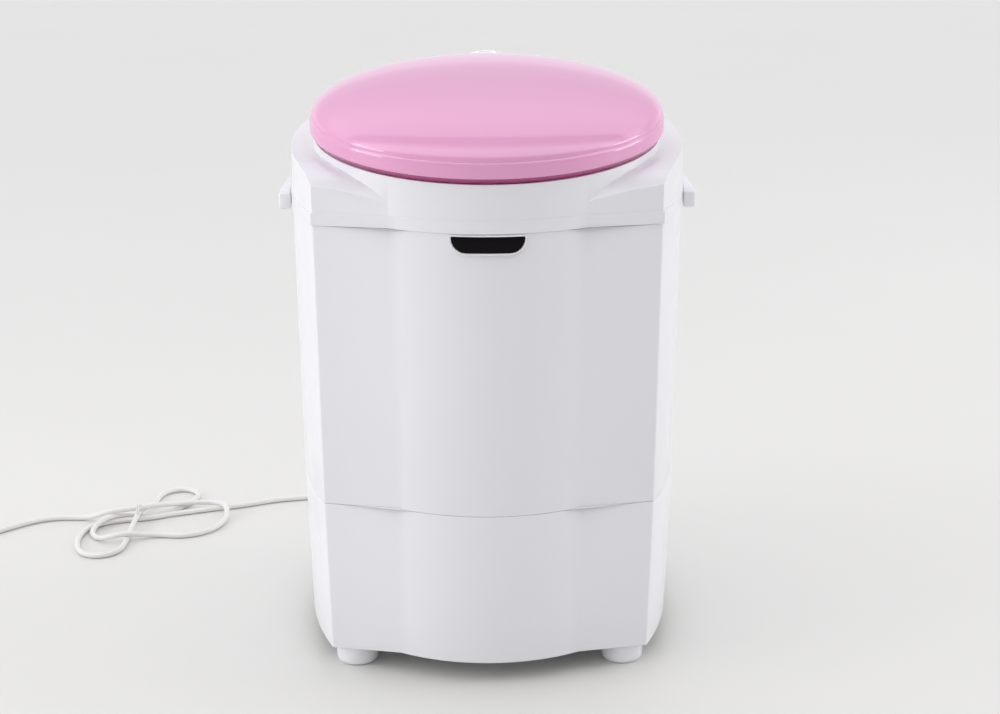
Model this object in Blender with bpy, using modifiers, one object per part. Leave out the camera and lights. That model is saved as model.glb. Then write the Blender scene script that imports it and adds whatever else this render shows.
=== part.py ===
"""Portable mini washer: a pink-lidded, single-tub pulsator machine.

Metres, +Z up. The origin is under the middle of the machine, on the surface it stands on.
-Y is the front, and +X is the right-hand side seen from the front.
"""
import math

import bmesh
import bpy
from mathutils import Vector

# ---- driving dimensions -------------------------------------------------------------------
GAP = 0.0003            # running gap between pieces that touch
WALL = 0.0025           # moulded wall thickness

TUB_Y = -0.034          # axis of the tub, neck, front bulge and pulsator
NECK_R = 0.1545         # neck and front bulge radius
FACETS = 88             # facets of the neck's full circle
BULGE_FACETS = 8        # of these, on each half of the front bulge
FRONT_CORNER = (0.1489, -0.150)
SIDE_R = 0.384          # plan radius of the bowed side
SIDE_C = (-0.2075, -0.007)
BACK_Y = 0.172
BACK_R = 0.030          # rounded rear corner

BASE_Z = 0.0186         # lower edge of the base
JOIN_Z = 0.158          # joint between base and body
SEAM_Z = 0.4087         # joint between body and top deck
BASE_TAPER = 0.953      # plan scale at the lower edge, about the tub axis
JOIN_TAPER = 0.9776     # plan scale at the base joint

BAND_TOP = 0.4195       # top of the rim band around the deck
BAND_OUT = 0.0012       # how far the band stands proud
POD_Z = 0.5045          # flat top of the rear control pod
POD_Y = 0.135
POD_HALF = 0.072        # half width of the pod
POD_FOOT = 0.4702       # rear deck beside the pod

LID_TILT = math.radians(7.5)
LID_R = 0.158
LIP_Z = 0.4706          # height of the lid's lip plane at its centre
LID_SKIRT = 0.0185
DOME_R = 0.1560
DOME_RISE = 0.0320      # height of the dome above the skirt
HINGE = (0.0, 0.129, 0.510)
HINGE_PIN_R = 0.0015

GRIP_Y0 = -0.050        # front and rear ends of the side grips
GRIP_Y1 = 0.050
COVER_Z = 0.0215        # underside of the bottom cover
COVER_T = 0.0025
COVER_SCREWS = [(sx * 0.100, sy) for sx in (-1, 1) for sy in (-0.085, 0.100)]

TUB_R = 0.130
TUB_FLOOR = 0.150
LEDGE_Z = 0.4380        # top of the ledge that the tub's rim rests over
SHAFT_HOLE = 0.0125     # radius of the hole in the tub's floor
SHAFT_R = 0.0050
BUSH_R = 0.0110
DRAIN = (-0.062, 0.038)
DRAIN_R = 0.0105
SPOUT = (-0.030, 0.060)    # x and z of the drain spout through the back wall
SPOUT_IN = 0.15495      # inner end of the spout

PULLEY_Z = 0.060
BIG_PULLEY_R = 0.060
SMALL_PULLEY_R = 0.0125
PULLEY_H = 0.014
MOTOR = (0.082, 0.052)
MOTOR_R = 0.042

KNOB = (0.0, 0.1535)
KNOB_R = 0.0165

CORD_R = 0.0028
RELIEF = (-0.100, 0.085)   # x and z of the cord's exit through the back wall
RELIEF_IN = 0.1530      # inner end of the strain relief, inside the rear wall
RELIEF_OUT = 0.1990     # tip of its tapered tail
CORD_Z = CORD_R + 0.0002   # height of the cord's centre where it lies on the floor
PLUG_X = -0.5900
PLUG_Y = 0.1690
PLUG_Z = 0.0080

FOOT_R = 0.0184
FEET = {"foot_front_left": (-0.1205, -0.127), "foot_front_right": (0.1205, -0.127),
        "foot_rear_left": (-0.112, 0.128), "foot_rear_right": (0.112, 0.128)}

for old in list(bpy.data.objects):
    bpy.data.objects.remove(old)

washer = bpy.data.collections.new("mini_washer")
cutters = bpy.data.collections.new("cutters")
bpy.context.scene.collection.children.link(washer)
bpy.context.scene.collection.children.link(cutters)

WHITE = ((0.86, 0.86, 0.89), 0.28, 0.0)
INNER_WHITE = ((0.82, 0.83, 0.85), 0.35, 0.0)
PINK = ((0.86, 0.40, 0.62), 0.12, 0.0)
BLACK = ((0.01, 0.01, 0.012), 0.15, 0.0)
CHROME = ((0.80, 0.80, 0.82), 0.10, 1.0)
STEEL = ((0.62, 0.63, 0.65), 0.30, 1.0)
ALLOY = ((0.55, 0.56, 0.58), 0.45, 1.0)
RUBBER = ((0.03, 0.03, 0.03), 0.80, 0.0)
BRONZE = ((0.55, 0.38, 0.16), 0.40, 1.0)
GREY = ((0.35, 0.36, 0.38), 0.50, 0.0)
CORD_WHITE = ((0.80, 0.79, 0.76), 0.45, 0.0)


# ---- helpers ------------------------------------------------------------------------------
def finish(obj, look):
    """Give a piece its own Principled material."""
    colour, roughness, metallic = look
    mat = bpy.data.materials.new(obj.name)
    mat.use_nodes = True
    shader = mat.node_tree.nodes["Principled BSDF"]
    shader.inputs["Base Color"].default_value = (*colour, 1.0)
    shader.inputs["Roughness"].default_value = roughness
    shader.inputs["Metallic"].default_value = metallic
    obj.data.materials.clear()
    obj.data.materials.append(mat)
    return obj


def add(name, data, look=None, smooth=False):
    """Put new mesh or curve data in the scene: as a piece, or as a cutter when it has no look."""
    obj = bpy.data.objects.new(name, data)
    if look is None:
        cutters.objects.link(obj)
        obj.hide_render = True
        obj.display_type = "WIRE"
        return obj
    washer.objects.link(obj)
    if smooth:
        obj.data.shade_smooth()
        obj.data.set_sharp_from_angle(angle=math.radians(35))
    return finish(obj, look)


def mesh_from(bm, name):
    bmesh.ops.recalc_face_normals(bm, faces=bm.faces)
    mesh = bpy.data.meshes.new(name)
    bm.to_mesh(mesh)
    bm.free()
    return mesh


def box(name, low, high, look=None, bevel=0.0):
    """A block between two corners."""
    bm = bmesh.new()
    bmesh.ops.create_cube(bm, size=1.0)
    size = [b - a for a, b in zip(low, high)]
    middle = [(a + b) / 2 for a, b in zip(low, high)]
    bmesh.ops.scale(bm, vec=size, verts=bm.verts)
    obj = add(name, mesh_from(bm, name), look)
    obj.location = middle
    if bevel:
        add_bevel(obj, bevel)
    return obj


def add_bevel(obj, width, segments=2, angle=40):
    mod = obj.modifiers.new("rounded_edges", "BEVEL")
    mod.width = width
    mod.segments = segments
    mod.limit_method = "ANGLE"
    mod.angle_limit = math.radians(angle)
    return mod


def rod(name, radius, z0, z1, at, look=None, sides=24, taper=None):
    """A round bar along Z, or a cone when taper gives its top radius."""
    bm = bmesh.new()
    top = radius if taper is None else taper
    bmesh.ops.create_cone(bm, cap_ends=True, segments=sides, radius1=radius, radius2=top,
                          depth=z1 - z0)
    obj = add(name, mesh_from(bm, name), look, smooth=look is not None)
    obj.location = (at[0], at[1], (z0 + z1) / 2)
    return obj


def turned(name, profile, look=None, steps=48, at=(0.0, 0.0, 0.0), closed=False):
    """Turn a profile of (radius, z) points about Z, listed down the outer side first."""
    bm = bmesh.new()
    points = [bm.verts.new((r, 0.0, z)) for r, z in profile]
    pairs = list(zip(points, points[1:]))
    if closed:
        pairs.append((points[-1], points[0]))
    for a, b in pairs:
        bm.edges.new((a, b))
    mesh = bpy.data.meshes.new(name)
    bm.to_mesh(mesh)
    bm.free()
    obj = add(name, mesh, look)
    mod = obj.modifiers.new("turned", "SCREW")
    mod.axis = "Z"
    mod.steps = steps
    mod.render_steps = steps
    mod.use_merge_vertices = True
    mod.merge_threshold = 0.00001
    mod.use_smooth_shade = True
    obj.location = at
    return obj


def bore_radius(radius, steps):
    """The corner radius of a turned bore whose flats just clear a bar of the given radius."""
    return (radius + 0.00008) / math.cos(math.pi / steps)


def boolean(obj, cutter, operation):
    mod = obj.modifiers.new(cutter.name, "BOOLEAN")
    mod.operation = operation
    mod.object = cutter
    mod.solver = "EXACT"
    return obj


def smooth_route(route, step):
    """Points every step or so along a smooth curve through the route's own points."""
    ends = [2 * route[0] - route[1]] + route + [2 * route[-1] - route[-2]]
    out = [route[0]]
    for a, b, c, d in zip(ends, ends[1:], ends[2:], ends[3:]):
        count = max(1, round((c - b).length / step))
        for i in range(1, count + 1):
            t = i / count
            out.append(0.5 * (2 * b + (c - a) * t + (2 * a - 5 * b + 4 * c - d) * t * t
                              + (3 * b - a - 3 * c + d) * t ** 3))
    return out


def tube(name, route, radius, look, step, resolution=2):
    """A round wire or hose: a poly curve with a bevel depth and filled caps."""
    points = smooth_route([Vector(p) for p in route], step)
    curve = bpy.data.curves.new(name, "CURVE")
    curve.dimensions = "3D"
    curve.bevel_depth = radius
    curve.bevel_resolution = resolution
    curve.use_fill_caps = True
    spline = curve.splines.new("POLY")
    spline.points.add(len(points) - 1)
    for point, place in zip(spline.points, points):
        point.co = (*place, 1.0)
    obj = bpy.data.objects.new(name, curve)
    washer.objects.link(obj)
    return finish(obj, look)


def empty(name, place):
    obj = bpy.data.objects.new(name, None)
    obj.location = place
    washer.objects.link(obj)
    return obj


def attach(parent, *children):
    """Parent pieces to an empty and keep them where they are."""
    for child in children:
        child.parent = parent
        child.location = Vector(child.location) - parent.location


# ---- plan outline -------------------------------------------------------------------------
def half_outline():
    """The right half of the machine's plan, from the front centre round to the back."""
    points = []
    step = 2 * math.pi / FACETS
    for i in range(BULGE_FACETS + 1):
        points.append((NECK_R * math.sin(i * step), TUB_Y - NECK_R * math.cos(i * step)))
    corner_y = BACK_Y - BACK_R
    rise = corner_y - SIDE_C[1]
    turn = math.asin(rise / (SIDE_R - BACK_R))
    start = math.atan2(FRONT_CORNER[1] - SIDE_C[1], FRONT_CORNER[0] - SIDE_C[0])
    side_facets = 14
    for i in range(side_facets + 1):
        a = start + (turn - start) * i / side_facets
        points.append((SIDE_C[0] + SIDE_R * math.cos(a), SIDE_C[1] + SIDE_R * math.sin(a)))
    corner_x = SIDE_C[0] + (SIDE_R - BACK_R) * math.cos(turn)
    corner_facets = 6
    for i in range(1, corner_facets + 1):
        a = turn + (math.pi / 2 - turn) * i / corner_facets
        points.append((corner_x + BACK_R * math.cos(a), corner_y + BACK_R * math.sin(a)))
    return points


def outline(grow=0.0, scale=1.0):
    """The whole plan, counter-clockwise, grown sideways and scaled about the tub axis."""
    half = half_outline()
    left = [(-x, y) for x, y in reversed(half[1:])]
    ring = [Vector(p) for p in half + left]
    out = []
    for i, here in enumerate(ring):
        before = (here - ring[i - 1]).normalized()
        after = (ring[(i + 1) % len(ring)] - here).normalized()
        n1 = Vector((before.y, -before.x))
        n2 = Vector((after.y, -after.x))
        mitre = (n1 + n2) / (1 + n1.dot(n2))
        place = here + mitre * grow
        out.append((place.x * scale, TUB_Y + (place.y - TUB_Y) * scale))
    return out


def prism(name, ring, z0, z1, look=None):
    """A flat outline raised from z0 to z1."""
    bm = bmesh.new()
    face = bm.faces.new([bm.verts.new((x, y, z0)) for x, y in ring])
    raised = bmesh.ops.extrude_face_region(bm, geom=[face])
    top = [v for v in raised["geom"] if isinstance(v, bmesh.types.BMVert)]
    bmesh.ops.translate(bm, vec=(0, 0, z1 - z0), verts=top)
    return add(name, mesh_from(bm, name), look)


def skin(name, z0, scale0, z1, scale1, look):
    """A moulded wall that follows the plan, from scale0 at z0 to scale1 at z1."""
    bm = bmesh.new()
    low = [bm.verts.new((x, y, z0)) for x, y in outline(0.0, scale0)]
    edges = [bm.edges.new((a, b)) for a, b in zip(low, low[1:] + low[:1])]
    raised = bmesh.ops.extrude_edge_only(bm, edges=edges)
    top = [v for v in raised["geom"] if isinstance(v, bmesh.types.BMVert)]
    for vert in top:
        vert.co.x *= scale1 / scale0
        vert.co.y = TUB_Y + (vert.co.y - TUB_Y) * scale1 / scale0
        vert.co.z = z1
    obj = add(name, mesh_from(bm, name), look)
    mod = obj.modifiers.new("wall", "SOLIDIFY")
    mod.thickness = WALL
    mod.offset = -1.0
    mod.use_even_offset = True
    return obj


# ---- casing -------------------------------------------------------------------------------
def base_housing():
    obj = skin("base_housing", BASE_Z, BASE_TAPER, JOIN_Z - GAP, JOIN_TAPER, WHITE)
    relief_hole = rod("relief_hole", 0.0078, -0.02, 0.02, (0, 0), sides=20)
    relief_hole.rotation_euler.x = math.pi / 2
    relief_hole.location = (RELIEF[0], BACK_Y - 0.008, RELIEF[1])
    spout_hole = rod("spout_hole", 0.0143, -0.02, 0.02, (0, 0), sides=24)
    spout_hole.rotation_euler.x = math.pi / 2
    spout_hole.location = (SPOUT[0], BACK_Y - 0.008, SPOUT[1])
    boolean(obj, relief_hole, "DIFFERENCE")
    boolean(obj, spout_hole, "DIFFERENCE")


def body_shell():
    skin("body_shell", JOIN_Z, JOIN_TAPER, SEAM_Z, 1.0, WHITE)


def bottom_cover():
    ring = outline(-WALL - 0.0012, BASE_TAPER)
    obj = prism("bottom_cover", ring, COVER_Z, COVER_Z + COVER_T, GREY)
    for i, (x, y) in enumerate(COVER_SCREWS):
        hole = rod(f"cover_hole_{i}", 0.0022, COVER_Z - 0.002, COVER_Z + 0.006, (x, y), sides=12)
        boolean(obj, hole, "DIFFERENCE")


def shoulder_profile(drop, back):
    """Side view of the deck's top: a rolled front edge, a gentle rise and the rear pod."""
    nose = [(-0.1755, 0.4100), (-0.1705, 0.4205), (-0.1645, 0.4300), (-0.1560, 0.4387),
            (-0.1450, 0.4454), (-0.1310, 0.4506), (-0.1070, 0.4548), (-0.0720, 0.4575),
            (-0.0120, 0.4605), (0.0480, 0.4635), (0.0880, 0.4665), (0.1180, 0.4690)]
    pod = [(POD_Y - 0.003, 0.4860), (POD_Y, 0.4920), (POD_Y, POD_Z - 0.002), (POD_Y + 0.002, POD_Z),
           (0.200, POD_Z)]
    return [(y + back, z - drop) for y, z in nose + pod] + [(0.200, 0.400), (-0.1755, 0.400)]


def pod_flanks(name, drop):
    """The space on each side of the control pod, above the rear deck."""
    bm = bmesh.new()
    for sign in (-1, 1):
        bmesh.ops.create_cube(bm, size=1.0)
        bm.verts.ensure_lookup_table()
        block = bm.verts[-8:]
        bmesh.ops.scale(bm, vec=(0.2, 0.2, 0.1), verts=block)
        middle = (sign * (POD_HALF - drop + 0.1), 0.216, POD_FOOT - drop + 0.05)
        bmesh.ops.translate(bm, vec=middle, verts=block)
    return add(name, mesh_from(bm, name))


def side_prism(name, profile):
    """A side-view profile swept across the whole width."""
    bm = bmesh.new()
    face = bm.faces.new([bm.verts.new((-0.22, y, z)) for y, z in profile])
    raised = bmesh.ops.extrude_face_region(bm, geom=[face])
    far = [v for v in raised["geom"] if isinstance(v, bmesh.types.BMVert)]
    bmesh.ops.translate(bm, vec=(0.44, 0, 0), verts=far)
    return add(name, mesh_from(bm, name))


def lip_block(name, drop):
    """Everything below the tilted plane that the lid's lip lies in."""
    block = box(name, (-0.25, -0.25, -0.20), (0.25, 0.25, 0.0))
    block.location = (0.0, TUB_Y, LIP_Z - drop)
    for vert in block.data.vertices:
        vert.co.z -= 0.10
    block.rotation_euler.x = LID_TILT
    return block


def top_deck():
    deck_bottom = SEAM_Z + GAP
    obj = prism("top_deck", outline(-0.0002), deck_bottom, 0.530, WHITE)
    boolean(obj, side_prism("shoulder_cut", shoulder_profile(0.0, 0.0)), "INTERSECT")
    boolean(obj, pod_flanks("pod_flanks", 0.0), "DIFFERENCE")

    neck = rod("neck", NECK_R, deck_bottom + 0.002, 0.520, (0, TUB_Y), sides=FACETS)
    boolean(neck, lip_block("neck_top", 0.0004), "INTERSECT")
    boolean(obj, neck, "UNION")
    boolean(obj, prism("band", outline(BAND_OUT), deck_bottom, BAND_TOP), "UNION")

    hollow = prism("deck_hollow", outline(-WALL), deck_bottom - 0.01, 0.530)
    boolean(hollow, side_prism("hollow_cut", shoulder_profile(WALL, WALL)), "INTERSECT")
    boolean(hollow, pod_flanks("hollow_flanks", WALL), "DIFFERENCE")
    keep = rod("keep_ledge", NECK_R - GAP, LEDGE_Z, 0.56, (0, TUB_Y), sides=FACETS)
    boolean(hollow, keep, "DIFFERENCE")
    boolean(obj, hollow, "DIFFERENCE")

    mouth = rod("neck_bore", NECK_R - WALL, LEDGE_Z + WALL, 0.56, (0, TUB_Y), sides=FACETS)
    throat = rod("throat", TUB_R + 0.0035, 0.40, 0.56, (0, TUB_Y), sides=FACETS)
    stem_hole = rod("stem_hole", 0.0042, 0.49, 0.52, KNOB, sides=20)
    for cutter in (mouth, throat, stem_hole):
        boolean(obj, cutter, "DIFFERENCE")


def side_grips():
    """Moulded grip ledges clipped against the rim band on each side."""
    for name, sign in (("grip_left", -1), ("grip_right", 1)):
        ring = []
        for i in range(9):
            y = GRIP_Y0 + (GRIP_Y1 - GRIP_Y0) * i / 8
            x = SIDE_C[0] + math.sqrt((SIDE_R + BAND_OUT + GAP) ** 2 - (y - SIDE_C[1]) ** 2)
            ring.append((x, y))
        outer = [(0.1795, GRIP_Y1), (0.1852, GRIP_Y1 - 0.020), (0.1868, GRIP_Y0 + 0.030),
                 (0.1868, GRIP_Y0)]
        whole = [(sign * x, y) for x, y in ring + outer]
        obj = prism(name, whole, 0.4020, 0.4175, WHITE)
        add_bevel(obj, 0.0015, 2, 50)


def badge():
    """A half-pill badge on the front bulge, just under the deck: frame and dark plate."""
    front = TUB_Y - NECK_R
    drop = 0.0168
    half = 0.0325

    def pill(width, top, bottom, corner):
        ring = [(-width, top), (width, top)]
        for i in range(7):
            a = math.radians(90 * i / 6)
            ring.append((width - corner + corner * math.cos(a), bottom + corner - corner * math.sin(a)))
        for i in range(7):
            a = math.radians(90 * i / 6)
            ring.append((-width + corner - corner * math.sin(a), bottom + corner - corner * math.cos(a)))
        return ring

    def plate(name, ring, y0, y1, look=None):
        bm = bmesh.new()
        face = bm.faces.new([bm.verts.new((x, y0, z)) for x, z in ring])
        raised = bmesh.ops.extrude_face_region(bm, geom=[face])
        far = [v for v in raised["geom"] if isinstance(v, bmesh.types.BMVert)]
        bmesh.ops.translate(bm, vec=(0, y1 - y0, 0), verts=far)
        return add(name, mesh_from(bm, name), look)

    top = SEAM_Z - 0.0008
    outer = pill(half, top, top - drop, 0.0135)
    inner = pill(half - 0.0014, top - 0.0012, top - drop + 0.0014, 0.0122)
    shell = rod("bulge_face", NECK_R + GAP, 0.38, 0.42, (0, TUB_Y), sides=2 * FACETS)
    raised = rod("badge_face", NECK_R + 0.0022, 0.38, 0.42, (0, TUB_Y), sides=2 * FACETS)
    sunk = rod("plate_face", NECK_R + 0.0017, 0.38, 0.42, (0, TUB_Y), sides=2 * FACETS)
    frame = plate("badge_frame", outer, front - 0.004, front + 0.012, CHROME)
    boolean(frame, raised, "INTERSECT")
    boolean(frame, shell, "DIFFERENCE")
    boolean(frame, plate("badge_window", inner, front - 0.01, front + 0.02), "DIFFERENCE")
    inset = pill(half - 0.0014 - GAP, top - 0.0012 - GAP, top - drop + 0.0014 + GAP, 0.0122)
    face = plate("badge_plate", inset, front - 0.004, front + 0.012, BLACK)
    boolean(face, sunk, "INTERSECT")
    boolean(face, shell, "DIFFERENCE")


def feet():
    for name, (x, y) in FEET.items():
        top = COVER_Z - GAP
        profile = [(0.0, top), (FOOT_R + 0.0005, top), (FOOT_R, 0.0035), (FOOT_R - 0.001, 0.0012),
                   (FOOT_R - 0.003, 0.0), (0.0, 0.0)]
        turned(name, profile, WHITE, 16, (x, y, 0.0))


def cover_screws():
    for i, (x, y) in enumerate(COVER_SCREWS):
        z = COVER_Z - GAP
        profile = [(0.0, z + 0.006), (0.0017, z + 0.006), (0.0017, z), (0.0042, z),
                   (0.0038, z - 0.0022), (0.0, z - 0.0022)]
        turned(f"cover_screw_{i + 1}", profile, STEEL, 10, (x, y, 0.0))


# ---- lid ----------------------------------------------------------------------------------
def lid_profile(inset):
    """The lid's outer curve, an upright skirt under a dome, or a curve the given distance inside."""
    edge = [(LID_R - 0.0004, 0.0), (LID_R, 0.0070), (LID_R - 0.0006, LID_SKIRT - 0.0040),
            (DOME_R, LID_SKIRT)]
    dome = []
    for degrees in (10, 24, 38, 52, 66, 78, 90):
        a = math.radians(degrees)
        r = DOME_R * math.cos(a) if degrees < 90 else 0.0
        dome.append((r, LID_SKIRT + DOME_RISE * math.sin(a)))
    points = edge + dome
    if not inset:
        return points
    moved = [(r - inset if r else 0.0, z - inset) for r, z in points[1:]]
    return [(points[0][0] - inset, 0.0)] + moved


def lid():
    thick = 0.0022
    outer = lid_profile(0.0)
    inner = lid_profile(thick)
    profile = list(reversed(outer)) + inner
    shell = turned("lid_shell", profile, PINK, 40, (0.0, TUB_Y, LIP_Z))
    shell.rotation_euler.x = LID_TILT
    edge_r = LID_R - thick - 0.0012
    profile = [(0.0, 0.0080), (edge_r - 0.016, 0.0080), (edge_r - 0.010, 0.0030),
               (edge_r, 0.0030), (edge_r, 0.0004), (edge_r - 0.011, 0.0004),
               (edge_r - 0.017, 0.0060), (0.0, 0.0060)]
    liner = turned("lid_liner", profile, INNER_WHITE, 40, (0.0, TUB_Y, LIP_Z))
    liner.rotation_euler.x = LID_TILT
    leaves = []
    for name, x in (("lid_hinge_leaf_left", -0.026), ("lid_hinge_leaf_right", 0.026)):
        leaves.append(hinge_piece(name, x, 0.009, HINGE[1] - 0.0067, HINGE[1] - 0.0035,
                                  HINGE[2] - 0.0130, WHITE))
    attach(empty("lid_hinge_axis", HINGE), shell, liner, *leaves)


def hinge_piece(name, x, half, y0, y1, low, look):
    """A knuckle around the hinge pin with a flat leaf below it."""
    barrel = rod(name, 0.0042, -half, half, (0, 0), look, sides=20)
    barrel.rotation_euler.y = math.pi / 2
    barrel.location = (x, HINGE[1], HINGE[2])
    leaf = box(name + "_plate", (x - half, y0, low), (x + half, y1, HINGE[2] + 0.001))
    bore = rod(name + "_bore", HINGE_PIN_R + 0.00015, -0.03, 0.03, (0, 0), sides=16)
    bore.rotation_euler.y = math.pi / 2
    bore.location = (x, HINGE[1], HINGE[2])
    boolean(barrel, leaf, "UNION")
    boolean(barrel, bore, "DIFFERENCE")
    return barrel


def hinge_base():
    hinge_piece("hinge_bracket", 0.0, 0.0160, POD_Y - 0.0045, POD_Y - GAP, 0.4945, WHITE)
    pin = rod("hinge_pin", HINGE_PIN_R, -0.037, 0.037, (0, 0), STEEL, sides=16)
    pin.rotation_euler.y = math.pi / 2
    pin.location = HINGE


# ---- wash tub and pulsator ----------------------------------------------------------------
def wash_tub():
    rim = LEDGE_Z + WALL + GAP
    r = TUB_R
    t = 0.002
    profile = [(NECK_R - WALL - 0.0015, rim + 0.0022), (NECK_R - WALL - 0.0015, rim),
               (r + t, rim), (r + t - 0.006, TUB_FLOOR + 0.020), (r - 0.010, TUB_FLOOR - t),
               (SHAFT_HOLE, TUB_FLOOR - t), (SHAFT_HOLE, TUB_FLOOR), (r - 0.011, TUB_FLOOR),
               (r - 0.006, TUB_FLOOR + 0.020), (r, rim - 0.004), (r + 0.002, rim + 0.0022)]
    obj = turned("wash_tub", profile, INNER_WHITE, 36, (0.0, TUB_Y, 0.0), closed=True)
    drain = rod("drain_cut", DRAIN_R, TUB_FLOOR - 0.01, TUB_FLOOR + 0.01, DRAIN, sides=20)
    boolean(obj, drain, "DIFFERENCE")


def drive_shaft():
    """The shaft that carries the pulsator on top and the large pulley below."""
    centre = (0.0, TUB_Y, 0.0)
    pulsator_r = 0.078
    z = TUB_FLOOR + 0.004
    profile = [(0.0, z + 0.0200), (0.013, z + 0.0190), (0.024, z + 0.0120), (0.050, z + 0.0060),
               (pulsator_r - 0.004, z + 0.0050), (pulsator_r, z + 0.0020), (pulsator_r, z),
               (0.020, z), (0.020, z - 0.0005), (0.0, z - 0.0005)]
    pulsator = turned("pulsator", profile, INNER_WHITE, 24, centre)
    for i in range(3):
        fin = box(f"pulsator_fin_{i}", (-0.004, 0.016, -0.004), (0.004, 0.071, 0.0135))
        add_bevel(fin, 0.003, 2)
        fin.location = (0.0, TUB_Y, z + 0.006)
        for vert in fin.data.vertices:
            vert.co.y += 0.0435
        fin.rotation_euler.z = math.radians(120 * i)
        boolean(pulsator, fin, "UNION")
    socket = rod("pulsator_socket", SHAFT_R + 0.00015, 0.10, z + 0.0140, (0, TUB_Y), sides=20)
    screw_way = rod("screw_way", 0.0026, 0.15, 0.20, (0, TUB_Y), sides=16)
    boolean(pulsator, socket, "DIFFERENCE")
    boolean(pulsator, screw_way, "DIFFERENCE")
    top = z + 0.0200
    screw_profile = [(0.0, top + 0.0035), (0.0040, top + 0.0032), (0.0046, top + GAP),
                     (0.0021, top + GAP), (0.0021, z + 0.0143), (0.0, z + 0.0143)]
    screw = turned("pulsator_screw", screw_profile, STEEL, 16, centre)
    shaft = rod("pulsator_shaft", SHAFT_R, PULLEY_Z - 0.006, z + 0.0137, (0, TUB_Y), STEEL, 20)
    wheel = pulley("large_pulley", BIG_PULLEY_R, SHAFT_R, (0.0, TUB_Y), 24, 4)
    attach(empty("pulsator_axis", centre), pulsator, screw, shaft, wheel)


def pulley(name, radius, bore, at, steps, holes):
    """A V-grooved wheel with a hub, and round windows in its web when holes is more than 0."""
    z = PULLEY_Z
    h = PULLEY_H
    groove = 0.005
    profile = [(radius, z + h), (radius, z + h - 0.002), (radius - groove, z + h - 0.0055),
               (radius - groove, z + 0.0055), (radius, z + 0.002), (radius, z)]
    if holes:
        profile += [(radius - 0.009, z), (radius - 0.009, z + 0.005), (0.014, z + 0.005),
                    (0.014, z)]
        upper = [(0.014, z + h), (0.014, z + h - 0.005), (radius - 0.009, z + h - 0.005),
                 (radius - 0.009, z + h)]
    else:
        upper = []
    hole = bore_radius(bore, steps)
    profile += [(hole, z), (hole, z + h)] + upper
    obj = turned(name, profile, ALLOY, steps, (at[0], at[1], 0.0), closed=True)
    for i in range(holes):
        a = 2 * math.pi * i / holes
        reach = radius * 0.56
        window = rod(f"{name}_window_{i}", 0.0095, z - 0.01, z + h + 0.01,
                     (at[0] + reach * math.cos(a), at[1] + reach * math.sin(a)), sides=10)
        boolean(obj, window, "DIFFERENCE")
    return obj


def bearing_set():
    """The bearing housing under the tub floor, its two bushes and the water seal."""
    z = TUB_FLOOR - 0.002 - GAP
    seat = bore_radius(BUSH_R, 20)
    profile = [(0.046, z), (0.046, z - 0.004), (0.020, z - 0.008), (0.016, 0.094),
               (seat, 0.094), (seat, z)]
    turned("bearing_housing", profile, ALLOY, 20, (0.0, TUB_Y, 0.0), closed=True)
    for name, low, high in (("lower_bush", 0.0945, 0.1065), ("upper_bush", 0.1275, 0.1400)):
        bore = bore_radius(SHAFT_R, 18)
        ring = [(BUSH_R, high), (BUSH_R, low), (bore, low), (bore, high)]
        turned(name, ring, BRONZE, 18, (0.0, TUB_Y, 0.0), closed=True)
    low = 0.1403
    high = TUB_FLOOR + 0.0028
    ring = [(SHAFT_HOLE - 0.0015, high), (BUSH_R - 0.0003, high - 0.003), (BUSH_R - 0.0003, low),
            (bore_radius(SHAFT_R, 18), low), (bore_radius(SHAFT_R, 18), high)]
    turned("shaft_seal", ring, RUBBER, 18, (0.0, TUB_Y, 0.0), closed=True)


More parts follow.
